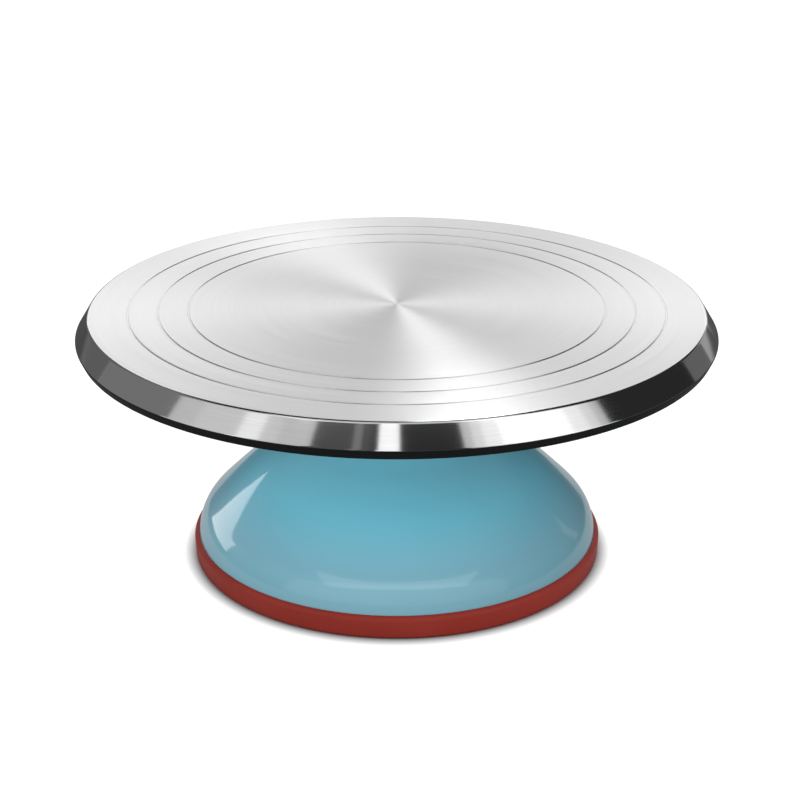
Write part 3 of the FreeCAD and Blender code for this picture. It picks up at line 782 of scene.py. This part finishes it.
print("small finishes:", sorted(SMALL_FINISHES))


# %% Dress the frame's own nodes
def dress_frame_nodes():
    """Put each small node's finish in its material slots."""
    dressed = 0
    for part in frame["record"]["subparts"]:
        node = frame["nodes"][part["node"]]
        finish = SMALL_FINISHES.get(part["material_slot"])
        if finish is None or node.hide_render:
            continue
        node.data.materials.clear()
        node.data.materials.append(finish)
        dressed += 1
    print("frame nodes dressed:", dressed)


dress_frame_nodes()

# %% [markdown]
# ## The studio
#
# The object stands on a wide pale floor. It glows a little by itself, so that it reads as an
# even white. The glow stops at the silicone ring: a painted contact shadow, a soft dark line
# where the object touches the floor. A Light Path node makes the floor dimmer to glossy and
# diffuse rays than it is to the camera. Otherwise the white floor would wash out the metal
# and the enamel that mirror it.

# %% Floor
FLOOR_GLOW, FLOOR_TONE, FLOOR_HALF = 0.85, 0.32, 8.0
DIFFUSE_DIMMING, NEAR_DIMMING, FAR_DIMMING = 0.7, 0.55, 0.42
# Radii over which the floor's glow fades in just outside the ring: the painted contact shadow.
PAINTED_CONTACT_SHADOW_EDGE = (ring_high.x - 0.001, ring_high.x + 0.0055)
FAR_EDGE = (0.28, 0.42)


def make_floor():
    """Wide pale floor; its glow stops at the ring as a painted contact shadow, and it fades in far
    reflections.
    """
    material, build, shader = finish_tree("pale_floor", Roughness=0.9, Specular_IOR_Level=0.1,
                                          Emission_Color=(1, 1, 1, 1))
    radius = spin_coordinates(build)[0]
    # Painted contact shadow: no glow on the floor at the ring, full glow a few millimetres out.
    glow_past_painted_contact_shadow = remapped(build, radius, 0.0, 1.0, *PAINTED_CONTACT_SHADOW_EDGE)
    far = remapped(build, radius, 0.0, 0.95, *FAR_EDGE)
    rays = build.add("ShaderNodeLightPath").outputs
    dimming = build.math("MULTIPLY_ADD", far, FAR_DIMMING, NEAR_DIMMING)
    mirrored = build.math("MULTIPLY", rays["Is Glossy Ray"], dimming)
    undimmed = build.math("MULTIPLY_ADD", rays["Is Diffuse Ray"], -DIFFUSE_DIMMING, 1.0)
    seen = build.math("SUBTRACT", undimmed, mirrored)
    pale = build.math("MULTIPLY", seen, FLOOR_TONE)
    build.feed(shader.inputs["Base Color"],
               build.add("ShaderNodeCombineXYZ", in_0=pale, in_1=pale, in_2=pale).outputs[0])
    glow = build.math("MULTIPLY", glow_past_painted_contact_shadow, seen)
    build.feed(shader.inputs["Emission Strength"], build.math("MULTIPLY", glow, FLOOR_GLOW))
    mesh = bpy.data.meshes.new("floor")
    corners = [(x * FLOOR_HALF, y * FLOOR_HALF, 0) for x, y in ((-1, -1), (1, -1), (1, 1), (-1, 1))]
    mesh.from_pydata(corners, [], [(0, 1, 2, 3)])
    mesh.materials.append(material)
    floor = bpy.data.objects.new("floor", mesh)
    SCENE.collection.objects.link(floor)


make_floor()

# %% [markdown]
# ### The camera
#
# A long lens from just above the plate shows the grooves as narrow ellipses and keeps the
# bell in view below. A small sideways shift of the film puts the object in the middle
# without turning the camera.

# %% Camera
TOP = PLATE_TOP * MM
CAMERA_DISTANCE = 0.8552
CAMERA_HEIGHT = TOP + 0.2965
CAMERA_PITCH = 0.3844
CAMERA_SHIFT = 0.004
FOCAL_LENGTH, SENSOR_WIDTH = 85.4, 36.0


def make_camera():
    """Camera in front of the turntable, looking down on it."""
    data = bpy.data.cameras.new("camera")
    data.lens = FOCAL_LENGTH
    data.sensor_width = SENSOR_WIDTH
    data.shift_x = CAMERA_SHIFT
    camera = bpy.data.objects.new("camera", data)
    SCENE.collection.objects.link(camera)
    camera.location = (0.0, -CAMERA_DISTANCE, CAMERA_HEIGHT)
    camera.rotation_euler = (math.pi / 2 - CAMERA_PITCH, 0.0, 0.0)
    SCENE.camera = camera


make_camera()

# %% [markdown]
# ### Panels that draw the bevel
#
# Polished metal shows nothing but its surroundings, so the lights are what draws the bevel:
# broad soft panels at each side, a narrow one over the camera, and dim gaps between them. A
# narrow panel behind a wide one makes a bright core with a softer border. Area lights in one
# plane would hide each other, so a wider panel stands a little closer in.

# %% Upright panels round the object
PANEL_DISTANCE = 1.6
PANEL_STEP_IN = 0.002


def area_light(name, place, aim, width, height, radiance):
    """Rectangular light of an even radiance that the camera doesn't see."""
    data = bpy.data.lights.new(name, "AREA")
    data.shape = "RECTANGLE"
    data.size = width
    data.size_y = height
    data.energy = radiance * math.pi * width * height
    light = bpy.data.objects.new(name, data)
    SCENE.collection.objects.link(light)
    light.location = place
    light.rotation_euler = (aim - place).to_track_quat("-Z", "Y").to_euler()
    light.visible_camera = False
    return light


def panel(name, start, end, foot, top, radiance):
    """Upright panel between two azimuths in degrees; 0 is over the camera, plus is right."""
    turn, half = math.radians((start + end) / 2), math.radians((end - start) / 2)
    height, distance = (foot + top) / 2, PANEL_DISTANCE - PANEL_STEP_IN * (end - start)
    place = Vector((math.sin(turn) * distance, -math.cos(turn) * distance, height))
    return area_light(name, place, Vector((0, 0, height)), 2 * distance * math.tan(half),
                      top - foot, radiance)


METAL_LIGHTS = [
    panel("left_back", -178, -117, 0.05, 2.0, 0.09),
    panel("left_side", -117, -82.5, 0.05, 2.0, 0.15),
    panel("left_front", -82, -30, 0.05, 2.4, 0.5),
    panel("left_middle", -72, -42, 0.05, 2.4, 0.07),
    panel("left_core", -56, -48, 0.05, 2.4, 0.3),
    panel("dim_front", -30, -9, 0.05, 2.4, 0.045),
    panel("slim_strip", -15.5, -12.5, 0.05, 2.4, 0.12),
    panel("centre_strip", -6.5, 1.0, 0.05, 2.4, 1.05),
    panel("right_wide", 23.5, 75.5, 0.05, 2.4, 0.5),
    panel("right_middle", 27, 72, 0.05, 2.4, 0.2),
    panel("right_inner", 31, 68, 0.05, 2.4, 0.2),
    panel("right_core", 37, 62, 0.05, 2.4, 0.25),
    panel("right_back", 117, 178, 0.05, 0.6, 0.1),
    panel("right_low", 132, 178, 0.02, 0.5, 0.2),
    panel("back", 146, 214, 0.3, 1.8, 0.86),
]

# %% [markdown]
# ### Lights for the brushed face
#
# The face mirrors what is high up. A wide light above the front gives it an even grey, and
# a small strong one above the back makes the bright wedges that meet at its centre. A low
# light behind on the right touches the end of the bevel.

# %% High and low lights for the metal
AIM = Vector((0, 0, TOP))
METAL_LIGHTS += [
    area_light("right_end", Vector((0.45, 0.95, 0.06)), Vector((0, 0, 0.06)), 0.45, 0.12, 0.35),
    area_light("front_high", Vector((0, -0.9, 2.3)), AIM, 2.6, 1.7, 0.6),
    area_light("wedge", AIM + Vector((0.12, 0.6, 0.79)) * 1.8, AIM, 0.3, 0.5, 4.9),
]
print("lights for the metal:", len(METAL_LIGHTS))

# %% [markdown]
# ### Lights for the enamel
#
# The enamel would mirror every panel of the bevel as a stripe. Blender can link a light to
# chosen objects, as a studio hides a lamp behind a flag. So the bell has lights of its own: a
# broad one in front and one above, small patches at the sides, and a fill that doesn't show
# in its gloss. The metal's lights leave the bell out, and the enamel's light nothing else.

# %% Lights for the enamel
ENAMEL_LIGHTS = [
    panel("enamel_front", -62, 62, 0.0, 1.5, 0.65),
    panel("enamel_left", -136, -108, 0.12, 0.62, 2.8),
    panel("enamel_streak", -112, -98, 1.3, 1.75, 2.2),
    panel("enamel_right", 119, 124, 0.12, 0.62, 0.45),
    area_light("enamel_high", Vector((0, -1.1, 1.5)), Vector((0, -0.08, 0.04)), 2.6, 1.1, 1.3),
    area_light("enamel_fill", Vector((-0.55, -1.45, 0.5)), Vector((0, 0, 0.05)), 1.2, 0.8, 2.7),
]
ENAMEL_LIGHTS[-1].visible_glossy = False
print("lights for the enamel:", len(ENAMEL_LIGHTS))


def link_lights(lights, piece, state):
    """Make lights shine on a piece only, or on all but that piece."""
    group = bpy.data.collections.new(state.lower() + "_" + piece.name)
    group.objects.link(piece)
    for member in group.collection_objects:
        member.light_linking.link_state = state
    for light in lights:
        light.light_linking.receiver_collection = group


link_lights(METAL_LIGHTS, enamel_bell, "EXCLUDE")
link_lights(ENAMEL_LIGHTS, enamel_bell, "INCLUDE")


# %% [markdown]
# ### Soft light from all round
#
# The world fills the shadows evenly. It is bright for soft light and dim in reflections, so
# that the dark bands between the panels stay dark on the bevel.

# %% Even surroundings
WORLD_COLOUR, WORLD_STRENGTH, WORLD_DIMMING = (0.95, 0.97, 1.0, 1), 0.8, 0.78


def make_world():
    """Even surroundings, bright for soft light and dim in reflections."""
    world = bpy.data.worlds.new("studio")
    SCENE.world = world
    world.use_nodes = True
    build = Tree(world.node_tree)
    background = build.nodes["Background"]
    background.inputs["Color"].default_value = WORLD_COLOUR
    glossy = build.add("ShaderNodeLightPath").outputs["Is Glossy Ray"]
    build.feed(background.inputs["Strength"],
               build.math("MULTIPLY_ADD", glossy, -WORLD_DIMMING, WORLD_STRENGTH))


make_world()
SCENE.view_settings.view_transform = "Standard"
